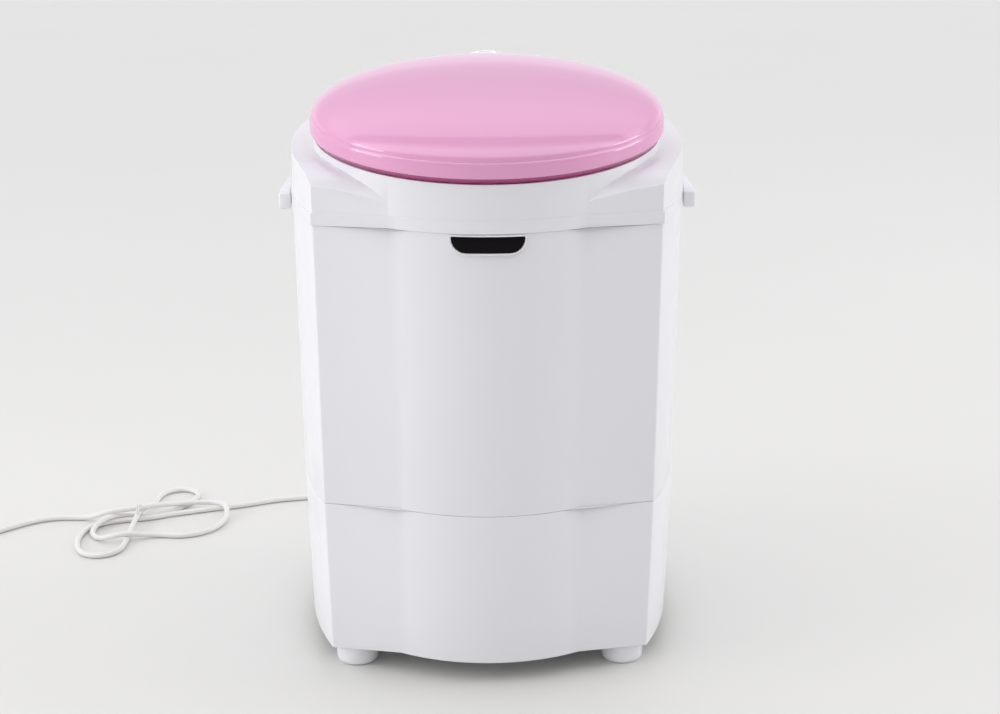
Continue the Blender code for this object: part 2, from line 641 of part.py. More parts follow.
# ---- motor and belt -----------------------------------------------------------------------
def motor_set():
    at = (MOTOR[0], MOTOR[1], 0.0)
    plate_z = 0.0790
    low = plate_z + 0.003 + GAP
    high = low + 0.052
    shaft_r = 0.0040
    bell = [(0.0, high), (0.020, high), (MOTOR_R - 0.012, high - 0.006),
            (MOTOR_R - 0.003, high - 0.010), (MOTOR_R, high - 0.016), (MOTOR_R, low + 0.014),
            (MOTOR_R - 0.003, low + 0.009), (MOTOR_R - 0.012, low + 0.004), (0.022, low),
            (shaft_r + 0.0010, low), (shaft_r + 0.0010, low + 0.030), (0.0, low + 0.030)]
    turned("motor_body", bell, ALLOY, 20, at)
    shaft = rod("motor_shaft", shaft_r, PULLEY_Z - 0.002, low + 0.0295, MOTOR, STEEL, 16)
    wheel = pulley("motor_pulley", SMALL_PULLEY_R, shaft_r, MOTOR, 18, 0)
    attach(empty("motor_axis", at), shaft, wheel)

    plate = box("motor_bracket", (-0.052, -0.036, plate_z), (0.052, 0.036, plate_z + 0.003), STEEL)
    turn = math.atan2(MOTOR[1] - TUB_Y, MOTOR[0]) + math.pi / 2
    plate.location.xy = MOTOR
    plate.rotation_euler.z = turn
    floor = COVER_Z + COVER_T + GAP
    for i, sign in enumerate((-1, 1)):
        inner = sign * 0.0490
        outer = sign * 0.0520
        low_x, high_x = sorted((inner, outer))
        leg = box(f"bracket_leg_{i}", (low_x, -0.036, floor), (high_x, 0.036, plate_z + 0.001))
        turn_about(leg, turn)
        boolean(plate, leg, "UNION")
        low_x, high_x = sorted((sign * 0.0505, sign * 0.0640))
        toe = box(f"bracket_toe_{i}", (low_x, -0.036, floor), (high_x, 0.036, floor + 0.003))
        turn_about(toe, turn)
        boolean(plate, toe, "UNION")
    hole = rod("bracket_hole", shaft_r + 0.004, 0.06, 0.10, MOTOR, sides=20)
    boolean(plate, hole, "DIFFERENCE")
    for i, reach in enumerate((-0.0585, 0.0585)):
        x = MOTOR[0] + reach * math.cos(turn)
        y = MOTOR[1] + reach * math.sin(turn)
        z = floor + 0.003 + GAP
        head = [(0.0, z + 0.0028), (0.0034, z + 0.0028), (0.0040, z + 0.0008), (0.0040, z),
                (0.0, z)]
        turned(f"bracket_bolt_{i + 1}", head, STEEL, 8, (x, y, 0.0))


def turn_about(obj, angle):
    """Swing a block about the motor's axis."""
    c = math.cos(angle)
    s = math.sin(angle)
    x, y, z = obj.location
    obj.location = (MOTOR[0] + x * c - y * s, MOTOR[1] + x * s + y * c, z)
    obj.rotation_euler.z = angle


def drive_belt():
    """A V belt round both pulleys: two arcs and two straight runs, as an endless band."""
    big = Vector((0.0, TUB_Y))
    small = Vector(MOTOR)
    span = small - big
    lean = math.acos((BIG_PULLEY_R - SMALL_PULLEY_R) / span.length)
    facing = math.atan2(span.y, span.x)

    def loop(grow):
        r1 = BIG_PULLEY_R + grow
        r2 = SMALL_PULLEY_R + grow
        ring = []
        for i in range(25):
            a = facing + lean + (2 * math.pi - 2 * lean) * i / 24
            ring.append((big.x + r1 * math.cos(a), big.y + r1 * math.sin(a)))
        for i in range(11):
            a = facing - lean + 2 * lean * i / 10
            ring.append((small.x + r2 * math.cos(a), small.y + r2 * math.sin(a)))
        return ring

    middle = PULLEY_Z + PULLEY_H / 2
    obj = prism("drive_belt", loop(0.0012), middle - 0.0024, middle + 0.0024, RUBBER)
    boolean(obj, prism("belt_inside", loop(-0.0012), middle - 0.01, middle + 0.01), "DIFFERENCE")


def capacitor():
    can = turned("capacitor", [(0.0, 0.030), (0.0160, 0.030), (0.0172, 0.0285), (0.0172, -0.030),
                               (0.0, -0.030)], INNER_WHITE, 28, (-0.085, 0.045, 0.0))
    can.rotation_euler.x = math.pi / 2
    can.location.z = COVER_Z + COVER_T + GAP + 0.0172
    strap_z = COVER_Z + COVER_T + GAP
    ring = [(-0.0300, 0.0), (-0.0190, 0.0)]
    for i in range(13):
        a = math.pi - math.pi * i / 12
        ring.append((0.0190 * math.cos(a), 0.0172 + 0.0190 * math.sin(a)))
    ring += [(0.0190, 0.0), (0.0300, 0.0), (0.0300, 0.0014), (0.0204, 0.0014)]
    for i in range(13):
        a = math.pi * i / 12
        ring.append((0.0204 * math.cos(a), 0.0172 + 0.0204 * math.sin(a)))
    ring += [(-0.0204, 0.0014), (-0.0300, 0.0014)]
    bm = bmesh.new()
    face = bm.faces.new([bm.verts.new((x - 0.085, 0.039, z + strap_z)) for x, z in ring])
    raised = bmesh.ops.extrude_face_region(bm, geom=[face])
    far = [v for v in raised["geom"] if isinstance(v, bmesh.types.BMVert)]
    bmesh.ops.translate(bm, vec=(0, 0.012, 0), verts=far)
    add("capacitor_strap", mesh_from(bm, "capacitor_strap"), STEEL)


# ---- timer --------------------------------------------------------------------------------
def timer():
    body = box("timer_body", (-0.021, 0.1385, 0.4700), (0.021, 0.1685, 0.4990), GREY, 0.0015)
    well = rod("timer_well", 0.0034, 0.480, 0.520, KNOB, sides=16)
    boolean(body, well, "DIFFERENCE")
    stem = rod("timer_shaft", 0.0030, 0.4805, POD_Z + 0.0072, KNOB, STEEL, 16)
    at = (KNOB[0], KNOB[1], POD_Z + 0.0006)
    r = KNOB_R
    profile = [(0.0, 0.0104), (r - 0.0040, 0.0104), (r - 0.0040, 0.0045), (r - 0.0012, 0.0040),
               (r - 0.0004, 0.0), (0.0032, 0.0), (0.0032, 0.0072), (0.0, 0.0072)]
    knob = turned("timer_knob", profile, WHITE, 24, at)
    ring = [(r - 0.0004, 0.0110), (r, 0.0102), (r, 0.0048), (r - 0.0036, 0.0048),
            (r - 0.0036, 0.0110)]
    trim = turned("knob_ring", ring, CHROME, 24, at, closed=True)
    attach(empty("timer_axis", at), stem, knob, trim)


# ---- water and wiring ---------------------------------------------------------------------
def drain():
    """The drain: a strainer in the tub floor, an elbow, a pipe and a spout in the rear wall."""
    x, y = DRAIN
    floor = TUB_FLOOR + GAP
    grille = turned("drain_strainer", [(0.0, floor + 0.0020), (0.0145, floor + 0.0014),
                                       (0.0152, floor), (0.0, floor)], INNER_WHITE, 16,
                    (x, y, 0.0))
    for i in range(5):
        slot_y = y + 0.0042 * (i - 2)
        reach = 0.0105 - 0.0016 * abs(i - 2)
        slot = box(f"strainer_slot_{i}", (x - reach, slot_y - 0.0009, floor - 0.002),
                   (x + reach, slot_y + 0.0009, floor + 0.004))
        boolean(grille, slot, "DIFFERENCE")
    top = TUB_FLOOR - 0.002 - GAP
    turned("drain_collar", [(0.0170, top), (0.0170, top - 0.0030), (0.0115, top - 0.0040),
                            (0.0115, top - 0.0120), (0.0090, top - 0.0120), (0.0090, top)],
           INNER_WHITE, 16, (x, y, 0.0), closed=True)
    start = top - 0.0120 - GAP
    route = [(x, y, start), (x, y + 0.003, 0.118), (x + 0.004, y + 0.028, 0.088),
             (x + 0.016, y + 0.064, 0.066), (SPOUT[0], 0.124, SPOUT[1]),
             (SPOUT[0], 0.138, SPOUT[1]), (SPOUT[0], SPOUT_IN - GAP, SPOUT[1])]
    tube("drain_pipe", route, 0.0085, GREY, 0.014, 2)
    profile = [(0.0105, 0.0370), (0.0082, 0.0340), (0.0100, 0.0280), (0.0082, 0.0275),
               (0.0100, 0.0215), (0.0085, 0.0205), (0.0085, 0.0175), (0.0190, 0.0175),
               (0.0190, 0.0150), (0.0138, 0.0150), (0.0138, 0.0), (0.0062, 0.0),
               (0.0062, 0.0370)]
    spout = turned("drain_spout", profile, INNER_WHITE, 16, closed=True)
    spout.rotation_euler.x = -math.pi / 2
    spout.location = (SPOUT[0], SPOUT_IN, SPOUT[1])


def inner_leads():
    """Leads that run inside the casing, between the relief, timer, motor and capacitor."""
    timer_low = 0.4700 - GAP
    tube("mains_lead", [(RELIEF[0], RELIEF_IN - GAP, RELIEF[1]),
                        (RELIEF[0], RELIEF_IN - 0.008, RELIEF[1]), (-0.098, 0.134, 0.092),
                        (-0.088, 0.136, 0.120), (-0.055, 0.150, 0.200), (-0.030, 0.155, 0.320),
                        (-0.010, 0.152, 0.430), (-0.010, 0.152, timer_low - 0.012),
                        (-0.010, 0.152, timer_low)],
         0.0026, CORD_WHITE, 0.028)
    tube("motor_lead", [(0.010, 0.152, timer_low), (0.010, 0.152, timer_low - 0.012),
                        (0.018, 0.154, 0.400), (0.050, 0.154, 0.260), (0.076, 0.140, 0.160),
                        (MOTOR[0], MOTOR[1] + MOTOR_R + 0.016, 0.112),
                        (MOTOR[0], MOTOR[1] + MOTOR_R + GAP, 0.112)],
         0.0026, GREY, 0.028)
    tube("capacitor_lead", [(-0.085, 0.0750 + GAP, 0.0415), (-0.085, 0.0830, 0.0415),
                            (-0.081, 0.094, 0.040),
                            (-0.055, 0.122, 0.034), (-0.010, 0.132, 0.036),
                            (0.015, 0.126, 0.070), (0.032, 0.108, 0.104),
                            (0.0545, 0.0860, 0.113)],
         0.0020, GREY, 0.020)


# ---- cord ---------------------------------------------------------------------------------
def strain_relief():
    profile = [(0.0, 0.0460), (0.0039, 0.0460), (0.0062, 0.0190), (0.0100, 0.0185),
               (0.0100, 0.0140), (0.0074, 0.0140), (0.0074, 0.0050), (0.0062, 0.0), (0.0, 0.0)]
    obj = turned("strain_relief", profile, CORD_WHITE, 16)
    obj.rotation_euler.x = -math.pi / 2
    obj.location = (RELIEF[0], RELIEF_IN, RELIEF[1])


def power_cord():
    """The cord drops from the rear wall, runs out to the left and is tied up in loose loops."""
    tube("cord_to_loops", [
        (RELIEF[0], RELIEF_OUT + GAP, RELIEF[1]), (RELIEF[0], 0.216, 0.084),
        (-0.101, 0.240, 0.072), (-0.105, 0.263, 0.044), (-0.114, 0.281, 0.018),
        (-0.130, 0.292, 0.0055), (-0.156, 0.2975, CORD_Z), (-0.185, 0.296, CORD_Z),
        (-0.210, 0.292, CORD_Z), (-0.235, 0.286, CORD_Z), (-0.258, 0.276, CORD_Z),
        (-0.2790, 0.2660, CORD_Z)], CORD_R, CORD_WHITE, 0.011)
    rim = [(-0.2800, 0.233), (-0.2840, 0.262), (-0.302, 0.278), (-0.322, 0.288),
           (-0.3260, 0.309), (-0.336, 0.331), (-0.352, 0.3255), (-0.368, 0.300),
           (-0.3735, 0.268), (-0.385, 0.245), (-0.405, 0.2345), (-0.4300, 0.2360),
           (-0.4370, 0.200), (-0.421, 0.1315), (-0.403, 0.1145), (-0.388, 0.129),
           (-0.3805, 0.158), (-0.370, 0.182), (-0.350, 0.1775), (-0.327, 0.1715),
           (-0.304, 0.180), (-0.2880, 0.200)]
    prism("cord_loops", list(reversed(closed_curve(rim, 3))), 0.0002, 0.0140, CORD_WHITE)
    tie = box("cord_tie", (-0.3850, 0.2260, 0.0140 + GAP), (-0.3730, 0.2360, 0.0170), CORD_WHITE)
    add_bevel(tie, 0.0008)
    tube("cord_to_plug", [
        (-0.4362, 0.2330, CORD_Z), (-0.4500, 0.2345, CORD_Z), (-0.4670, 0.2330, CORD_Z),
        (-0.4860, 0.2270, CORD_Z), (-0.5030, 0.2150, CORD_Z), (-0.5190, 0.1990, CORD_Z),
        (-0.5350, 0.1840, CORD_Z), (-0.5540, 0.1740, 0.0042), (-0.5750, 0.1700, 0.0066),
        (PLUG_X, PLUG_Y, PLUG_Z)], CORD_R, CORD_WHITE, 0.011)


def closed_curve(points, count):
    """Points along a smooth closed curve through the given plan points."""
    ring = [Vector(p) for p in points]
    out = []
    total = len(ring)
    for i in range(total):
        a, b, c, d = (ring[(i + k - 1) % total] for k in range(4))
        for step in range(count):
            t = step / count
            p = 0.5 * (2 * b + (c - a) * t + (2 * a - 5 * b + 4 * c - d) * t * t
                       + (3 * b - a - 3 * c + d) * t ** 3)
            out.append((p.x, p.y))
    return out


def plug():
    """A moulded two-pin plug that lies on the floor at the end of the cord."""
    tail = turned("plug_body", [(0.0, 0.0), (0.0040, 0.0), (0.0056, -0.0180), (0.0, -0.0180)],
                  CORD_WHITE, 20)
    tail.rotation_euler.y = math.pi / 2
    tail.location = (PLUG_X - GAP, PLUG_Y, PLUG_Z)
    grip = box("plug_grip", (PLUG_X - 0.048, PLUG_Y - 0.0125, 0.0004),
               (PLUG_X - 0.016, PLUG_Y + 0.0125, 0.0156))
    add_bevel(grip, 0.004, 3)
    boolean(tail, grip, "UNION")
    for name, side in (("plug_pin_left", -0.0065), ("plug_pin_right", 0.0065)):
        pin = rod(name, 0.0020, -0.0090, 0.0090, (0, 0), STEEL, sides=12)
        pin.rotation_euler.y = math.pi / 2
        pin.location = (PLUG_X - 0.048 - GAP - 0.0090, PLUG_Y + side, PLUG_Z)


def build():
    base_housing()
    body_shell()
    bottom_cover()
    top_deck()
    side_grips()
    badge()
    feet()
    cover_screws()
    lid()
    hinge_base()
    wash_tub()
    drive_shaft()
    bearing_set()
    motor_set()
    drive_belt()
    capacitor()
    timer()
    drain()
    inner_leads()
    strain_relief()
    power_cord()
    plug()


build()
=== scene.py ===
"""Portable mini washer with a tilted round lid, in a pale studio.

Metres, +Z up, the front towards -Y. The working model is loaded first, and each piece that can
be seen is then made or finished in the order in which the machine goes together.
"""
import math

import bmesh
import bpy
from mathutils import Matrix, Vector


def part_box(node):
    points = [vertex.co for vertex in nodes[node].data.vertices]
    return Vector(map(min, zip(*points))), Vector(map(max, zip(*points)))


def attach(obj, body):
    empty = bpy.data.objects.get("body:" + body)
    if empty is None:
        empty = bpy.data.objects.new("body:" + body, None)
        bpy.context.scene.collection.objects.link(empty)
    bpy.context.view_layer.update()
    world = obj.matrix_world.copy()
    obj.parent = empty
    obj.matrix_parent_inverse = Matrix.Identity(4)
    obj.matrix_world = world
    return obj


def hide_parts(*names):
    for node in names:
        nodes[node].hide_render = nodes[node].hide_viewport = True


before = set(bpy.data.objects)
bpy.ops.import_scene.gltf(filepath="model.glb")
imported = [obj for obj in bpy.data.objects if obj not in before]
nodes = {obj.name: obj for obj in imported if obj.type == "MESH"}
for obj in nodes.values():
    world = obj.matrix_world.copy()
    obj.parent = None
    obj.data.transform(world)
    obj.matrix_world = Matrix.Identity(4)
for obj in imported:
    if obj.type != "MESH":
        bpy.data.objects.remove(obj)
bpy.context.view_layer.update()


# ---- Studio --------------------------------------------------------------------------------
# A pale floor that runs past the horizon, an even pale room that is dimmer towards the front,
# and on each side a broad soft box with a smaller, brighter one for the glints on the lid.
def only(*pieces):
    """Select these pieces and nothing else."""
    bpy.ops.object.select_all(action="DESELECT")
    for piece in pieces:
        piece.select_set(True)
    bpy.context.view_layer.objects.active = pieces[-1]


CAMERA_PLACE = (-0.0056, -1.7723, 0.7560)
bpy.ops.object.select_all(action="DESELECT")
bpy.ops.object.camera_add(location=CAMERA_PLACE)
camera = bpy.context.object
camera.name = "camera"
CAMERA_DOWN = math.radians(15.96)
CAMERA_ASIDE = math.radians(0.55)
CAMERA_ROLL = math.radians(-0.18)
camera.rotation_euler = (Matrix.Rotation(-CAMERA_ASIDE, 3, "Z")
                         @ Matrix.Rotation(math.pi / 2 - CAMERA_DOWN, 3, "X")
                         @ Matrix.Rotation(CAMERA_ROLL, 3, "Z")).to_euler()
camera.data.sensor_width = 36.0
camera.data.lens = 70.36
bpy.context.scene.camera = camera
bpy.context.scene.view_settings.view_transform = "Standard"

FLOOR_SIZE = 60.0
FLOOR_DARK = (0.728, 0.724, 0.692, 1.0)
FLOOR_PALE = (0.757, 0.753, 0.722, 1.0)
bpy.ops.mesh.primitive_plane_add(size=FLOOR_SIZE, location=(0.0, 0.0, 0.0))
floor = bpy.context.object
floor.name = "floor"
floor_paint = bpy.data.materials.new("floor_paint")
floor_paint.use_nodes = True
floor_nodes, floor_links = floor_paint.node_tree.nodes, floor_paint.node_tree.links
floor_shader = floor_nodes["Principled BSDF"]
floor_shader.inputs["Roughness"].default_value = 0.42
floor_place = floor_nodes.new("ShaderNodeTexCoord")
floor_cloud = floor_nodes.new("ShaderNodeTexNoise")
floor_cloud.inputs["Scale"].default_value = 1.7
floor_cloud.inputs["Detail"].default_value = 5.0
floor_tone = floor_nodes.new("ShaderNodeValToRGB")
floor_tone.color_ramp.elements[0].color = FLOOR_DARK
floor_tone.color_ramp.elements[1].color = FLOOR_PALE
floor_links.new(floor_place.outputs["Object"], floor_cloud.inputs["Vector"])
floor_links.new(floor_cloud.outputs["Fac"], floor_tone.inputs["Fac"])
floor_links.new(floor_tone.outputs["Color"], floor_shader.inputs["Base Color"])
floor.data.materials.append(floor_paint)

# The room's light falls off towards its dark side. Glossy faces see the panels of a ceiling
# instead, each stop being how far back the panel lies over its height, and its brightness.
ROOM_BRIGHT = 1.09
ROOM_DARK = 0.26
DARK_SIDE = (0.31, -0.86, -0.40)
ROOM_TINT = (0.970, 0.965, 1.0, 1.0)
CEILING = ((-2.0, 0.50), (-1.2, 0.90), (-0.8, 3.20), (-0.1, 3.40), (0.25, 0.75), (0.48, 0.62),
           (0.50, 1.65), (1.0, 1.40), (1.6, 0.85), (2.2, 0.72), (3.6, 0.85), (4.0, 1.00))
room = bpy.data.worlds.new("room")
room.use_nodes = True
bpy.context.scene.world = room
air, wires = room.node_tree.nodes, room.node_tree.links
direction = air.new("ShaderNodeTexCoord")
toward_dark = air.new("ShaderNodeVectorMath")
toward_dark.operation = "DOT_PRODUCT"
toward_dark.inputs[1].default_value = DARK_SIDE
falloff = air.new("ShaderNodeMapRange")
falloff.interpolation_type = "SMOOTHSTEP"
falloff.inputs["From Min"].default_value = -0.10
falloff.inputs["From Max"].default_value = 1.00
falloff.inputs["To Min"].default_value = ROOM_BRIGHT
falloff.inputs["To Max"].default_value = ROOM_DARK
wires.new(direction.outputs["Generated"], toward_dark.inputs[0])
wires.new(toward_dark.outputs["Value"], falloff.inputs["Value"])
axes = air.new("ShaderNodeSeparateXYZ")
height_over = air.new("ShaderNodeMath")
height_over.operation = "MAXIMUM"
height_over.inputs[1].default_value = 0.02
lean = air.new("ShaderNodeMath")
lean.operation = "DIVIDE"
across = air.new("ShaderNodeMapRange")
across.inputs["From Min"].default_value = CEILING[0][0]
across.inputs["From Max"].default_value = CEILING[-1][0]
panels = air.new("ShaderNodeValToRGB")
panels.color_ramp.elements.remove(panels.color_ramp.elements[1])
for count, (slope, level) in enumerate(CEILING):
    stop = (slope - CEILING[0][0]) / (CEILING[-1][0] - CEILING[0][0])
    mark = panels.color_ramp.elements[0] if count == 0 else panels.color_ramp.elements.new(stop)
    mark.position = stop
    mark.color = (level, level, level, 1.0)
wires.new(direction.outputs["Generated"], axes.inputs[0])
wires.new(axes.outputs["Z"], height_over.inputs[0])
wires.new(axes.outputs["Y"], lean.inputs[0])
wires.new(height_over.outputs["Value"], lean.inputs[1])
wires.new(lean.outputs["Value"], across.inputs["Value"])
wires.new(across.outputs["Result"], panels.inputs["Fac"])
ray = air.new("ShaderNodeLightPath")
choice = air.new("ShaderNodeMix")
wires.new(ray.outputs["Is Glossy Ray"], choice.inputs["Factor"])
wires.new(falloff.outputs["Result"], choice.inputs["A"])
wires.new(panels.outputs["Color"], choice.inputs["B"])
air["Background"].inputs["Color"].default_value = ROOM_TINT
wires.new(choice.outputs["Result"], air["Background"].inputs["Strength"])


def soft_box(name, place, aim, width, height, watts):
    """A rectangular studio light that faces a point and isn't seen directly."""
    bpy.ops.object.light_add(type="AREA", location=place)
    lamp = bpy.context.object
    lamp.name = name
    lamp.data.shape = "RECTANGLE"
    lamp.data.size = width
    lamp.data.size_y = height
    lamp.data.energy = watts
    lamp.visible_camera = False
    lamp.rotation_euler = (Vector(aim) - Vector(place)).to_track_quat("-Z", "Y").to_euler()


soft_box("left_box", (-2.6, -0.7, 1.1), (0.0, 0.0, 0.3), 2.0, 2.0, 6.0)
soft_box("right_box", (2.6, 0.3, 1.1), (0.0, 0.0, 0.3), 2.0, 2.0, 8.0)
soft_box("left_window", (-2.05, -0.46, 0.80), (-0.10, -0.15, 0.45), 0.90, 0.50, 7.0)
soft_box("right_window", (2.57, 0.27, 0.74), (0.10, -0.15, 0.45), 1.10, 0.50, 7.0)


# ---- Mains cord ----------------------------------------------------------------------------
# A round two-core mains lead in off-white PVC. It leaves the back wall through a ribbed strain
# relief, drops to the floor, is bundled in loose loops by a wire tie, and ends in its plug.
PLASTIC_IOR = 1.50


def plastic(name, colour, gloss, grain=900.0, depth=0.00002, cloud=0.03):
    """A moulded plastic: the shared moulded-skin group feeding a Principled shader."""
    mat = bpy.data.materials.new(name)
    mat.use_nodes = True
    shader = mat.node_tree.nodes["Principled BSDF"]
    shader.inputs["IOR"].default_value = PLASTIC_IOR
    skin = mat.node_tree.nodes.new("ShaderNodeGroup")
    skin.node_tree = moulded_skin
    skin.inputs["Colour"].default_value = (*colour, 1.0)
    skin.inputs["Gloss"].default_value = gloss
    skin.inputs["Grain"].default_value = grain
    skin.inputs["Depth"].default_value = depth
    skin.inputs["Cloud"].default_value = cloud
    for out, into in (("Colour", "Base Color"), ("Roughness", "Roughness"), ("Normal", "Normal")):
        mat.node_tree.links.new(skin.outputs[out], shader.inputs[into])
    return mat


def group_sockets(tree, inputs, outputs):
    """Give a shader group its named sockets, as (name, kind, default)."""
    for name, kind, value in inputs:
        socket = tree.interface.new_socket(name, in_out="INPUT", socket_type=kind)
        socket.default_value = value
    for name, kind in outputs:
        tree.interface.new_socket(name, in_out="OUTPUT", socket_type=kind)
    return tree.nodes.new("NodeGroupInput"), tree.nodes.new("NodeGroupOutput")


def maths(tree, operation, a, b, c=None):
    """A Math node whose inputs are sockets or plain numbers."""
    node = tree.nodes.new("ShaderNodeMath")
    node.operation = operation
    for socket, value in zip(node.inputs, (a, b, c)):
        if isinstance(value, (int, float)):
            socket.default_value = value
        elif value is not None:
            tree.links.new(value, socket)
    return node.outputs["Value"]


def noise(tree, vector, scale, detail=2.0, roughness=0.5):
    """A noise value on a vector, at a scale that is a socket or a number."""
    node = tree.nodes.new("ShaderNodeTexNoise")
    node.inputs["Detail"].default_value = detail
    node.inputs["Roughness"].default_value = roughness
    tree.links.new(vector, node.inputs["Vector"])
    if isinstance(scale, (int, float)):
        node.inputs["Scale"].default_value = scale
    else:
        tree.links.new(scale, node.inputs["Scale"])
    return node.outputs["Fac"]


moulded_skin = bpy.data.node_groups.new("moulded_skin", "ShaderNodeTree")
given, result = group_sockets(
    moulded_skin,
    [("Colour", "NodeSocketColor", (0.8, 0.8, 0.8, 1.0)), ("Gloss", "NodeSocketFloat", 0.3),
     ("Grain", "NodeSocketFloat", 900.0), ("Depth", "NodeSocketFloat", 0.00002),
     ("Cloud", "NodeSocketFloat", 0.03)],
    [("Colour", "NodeSocketColor"), ("Roughness", "NodeSocketFloat"),
     ("Normal", "NodeSocketVector")])
place = moulded_skin.nodes.new("ShaderNodeTexCoord").outputs["Object"]
flow = noise(moulded_skin, place, 7.0, 3.0)
smudge = noise(moulded_skin, place, 38.0, 4.0, 0.62)
fine = noise(moulded_skin, place, given.outputs["Grain"], 2.0)
wave = noise(moulded_skin, place, 24.0, 1.0)
tint = moulded_skin.nodes.new("ShaderNodeHueSaturation")
moulded_skin.links.new(given.outputs["Colour"], tint.inputs["Color"])
shade = maths(moulded_skin, "MULTIPLY", maths(moulded_skin, "SUBTRACT", flow, 0.5),
              given.outputs["Cloud"])
moulded_skin.links.new(maths(moulded_skin, "ADD", shade, 1.0), tint.inputs["Value"])
moulded_skin.links.new(tint.outputs["Color"], result.inputs["Colour"])
rub = maths(moulded_skin, "MULTIPLY", maths(moulded_skin, "SUBTRACT", smudge, 0.5), 0.35)
moulded_skin.links.new(
    maths(moulded_skin, "MULTIPLY", given.outputs["Gloss"], maths(moulded_skin, "ADD", rub, 1.0)),
    result.inputs["Roughness"])
height = maths(moulded_skin, "ADD", maths(moulded_skin, "MULTIPLY", fine, given.outputs["Depth"]),
               maths(moulded_skin, "MULTIPLY", wave, 0.00004))
bump = moulded_skin.nodes.new("ShaderNodeBump")
bump.inputs["Distance"].default_value = 1.0
bump.inputs["Strength"].default_value = 1.0
moulded_skin.links.new(height, bump.inputs["Height"])
moulded_skin.links.new(bump.outputs["Normal"], result.inputs["Normal"])

cord_pvc = plastic("cord_pvc", (0.80, 0.79, 0.76), 0.38, grain=600.0, depth=0.00003)

CORD_R = 0.0028
RELIEF_TIP = (-0.100, 0.1993, 0.085)
PLUG_AT = (-0.590, 0.169, 0.008)
OUT_OF_WALL = [RELIEF_TIP, (-0.100, 0.216, 0.084), (-0.101, 0.240, 0.072), (-0.105, 0.263, 0.044),
               (-0.114, 0.281, 0.018), (-0.130, 0.292, 0.0055), (-0.156, 0.2975, 0.0030),
               (-0.185, 0.296, 0.0030), (-0.210, 0.292, 0.0030), (-0.235, 0.286, 0.0030),
               (-0.258, 0.276, 0.0030), (-0.279, 0.2670, 0.0030), (-0.300, 0.2600, 0.0030),
               (-0.322, 0.2520, 0.0030), (-0.345, 0.2430, 0.0030), (-0.362, 0.2345, 0.0030)]
LOWER_LEFT_LOOP = [(-0.3788, 0.2288, 0.0030), (-0.3990, 0.2240, 0.0030), (-0.4170, 0.2150, 0.0030),
                   (-0.4290, 0.2010, 0.0030), (-0.4340, 0.1800, 0.0030), (-0.4330, 0.1580, 0.0030),
                   (-0.4275, 0.1380, 0.0030), (-0.4180, 0.1255, 0.0030), (-0.4045, 0.1215, 0.0030),
                   (-0.3918, 0.1275, 0.0030), (-0.3845, 0.1410, 0.0030), (-0.3825, 0.1600, 0.0036),
                   (-0.3820, 0.1800, 0.0046), (-0.3815, 0.2030, 0.0066)]
UPPER_LOOP = [(-0.3800, 0.2318, 0.0087), (-0.3750, 0.2560, 0.0066), (-0.3700, 0.2780, 0.0036),
              (-0.3680, 0.2980, 0.0030), (-0.3625, 0.3130, 0.0030), (-0.3495, 0.3220, 0.0030),
              (-0.3345, 0.3185, 0.0030), (-0.3255, 0.3040, 0.0030), (-0.3300, 0.2810, 0.0030),
              (-0.3430, 0.2585, 0.0030), (-0.3600, 0.2430, 0.0030)]
LOWER_RIGHT_LOOP = [(-0.3788, 0.2352, 0.0030), (-0.3960, 0.2300, 0.0066), (-0.4090, 0.2190, 0.0087),
                    (-0.4200, 0.2040, 0.0062), (-0.4225, 0.1880, 0.0034), (-0.4150, 0.1730, 0.0030),
                    (-0.4010, 0.1650, 0.0064), (-0.3840, 0.1670, 0.0092), (-0.3680, 0.1760, 0.0050),
                    (-0.3480, 0.1800, 0.0030), (-0.3276, 0.1775, 0.0030), (-0.3071, 0.1850, 0.0030),
                    (-0.2920, 0.2030, 0.0030), (-0.2850, 0.2300, 0.0045), (-0.2895, 0.2545, 0.0087),
                    (-0.3050, 0.2700, 0.0060), (-0.3250, 0.2680, 0.0070), (-0.3430, 0.2560, 0.0100),
                    (-0.3610, 0.2420, 0.0140)]
AWAY_TO_PLUG = [(-0.3800, 0.2318, 0.0145), (-0.3970, 0.2250, 0.0148), (-0.4120, 0.2240, 0.0130),
                (-0.4280, 0.2290, 0.0062), (-0.4425, 0.2330, 0.0030), (-0.4640, 0.2334, 0.0030),
                (-0.4840, 0.2280, 0.0030), (-0.5020, 0.2160, 0.0030), (-0.5190, 0.1995, 0.0030),
                (-0.5350, 0.1845, 0.0030), (-0.5540, 0.1745, 0.0040), (-0.5750, 0.1702, 0.0066),
                PLUG_AT]
CORD_ROUTE = OUT_OF_WALL + LOWER_LEFT_LOOP + UPPER_LOOP + LOWER_RIGHT_LOOP + AWAY_TO_PLUG


def smooth_route(stops, parts):
    """A smooth run of points through every stop, with this many parts between two stops."""
    stops = [Vector(p) for p in stops]
    ends = [2 * stops[0] - stops[1]] + stops + [2 * stops[-1] - stops[-2]]
    run = [stops[0]]
    for a, b, c, d in zip(ends, ends[1:], ends[2:], ends[3:]):
        for i in range(1, parts + 1):
            t = i / parts
            run.append(0.5 * (2 * b + (c - a) * t + (2 * a - 5 * b + 4 * c - d) * t * t
                              + (3 * b - a - 3 * c + d) * t ** 3))
    return run


def round_wire(name, run, radius, body, skin):
    """A wire as a curve of one open spline with a round section, riding on a body."""
    line = bpy.data.curves.new(name, "CURVE")
    line.dimensions = "3D"
    line.bevel_depth = radius
    line.bevel_resolution = 5
    line.use_fill_caps = True
    spline = line.splines.new("POLY")
    spline.points.add(len(run) - 1)
    for point, at in zip(spline.points, run):
        point.co = (*at, 1.0)
    spline.use_smooth = True
    wire = bpy.data.objects.new(name, line)
    bpy.context.scene.collection.objects.link(wire)
    line.materials.append(skin)
    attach(wire, body)
    return wire


